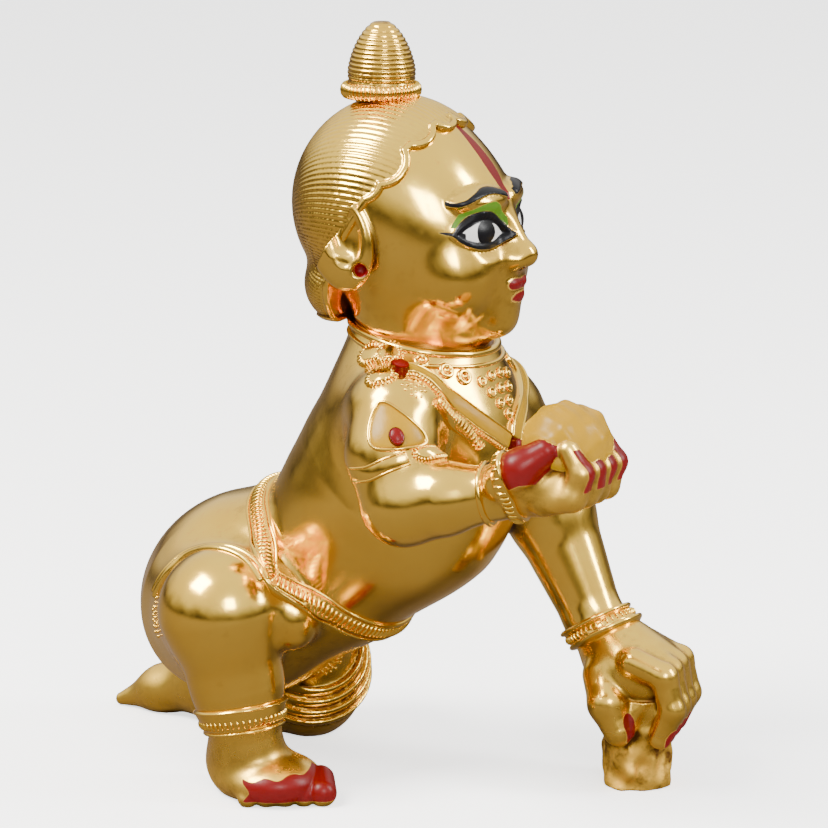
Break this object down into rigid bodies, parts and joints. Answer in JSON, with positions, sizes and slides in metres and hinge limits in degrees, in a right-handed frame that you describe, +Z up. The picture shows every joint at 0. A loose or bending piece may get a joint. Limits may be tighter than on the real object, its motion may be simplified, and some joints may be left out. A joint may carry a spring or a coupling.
{
  "type": "laddu gopal idol",
  "caption": "Small cast brass figure of a crawling child with a topknot, its raised right hand holding a sweet ball, its left fist on a short stub.",
  "frame": {"origin": "on the floor, under the middle of the figure's box", "axes": "+X the way the figure faces and crawls, +Y its left side, +Z up"},
  "size_m": [0.0866, 0.0468, 0.0987],
  "materials": {
    "brass": "polished, rough as cast on the stub and in the chasing, with small areas of yellow, red, green, black and white enamel"
  },
  "bodies": {
    "root": {"idol": "brass"}
  },
  "joints": []
}
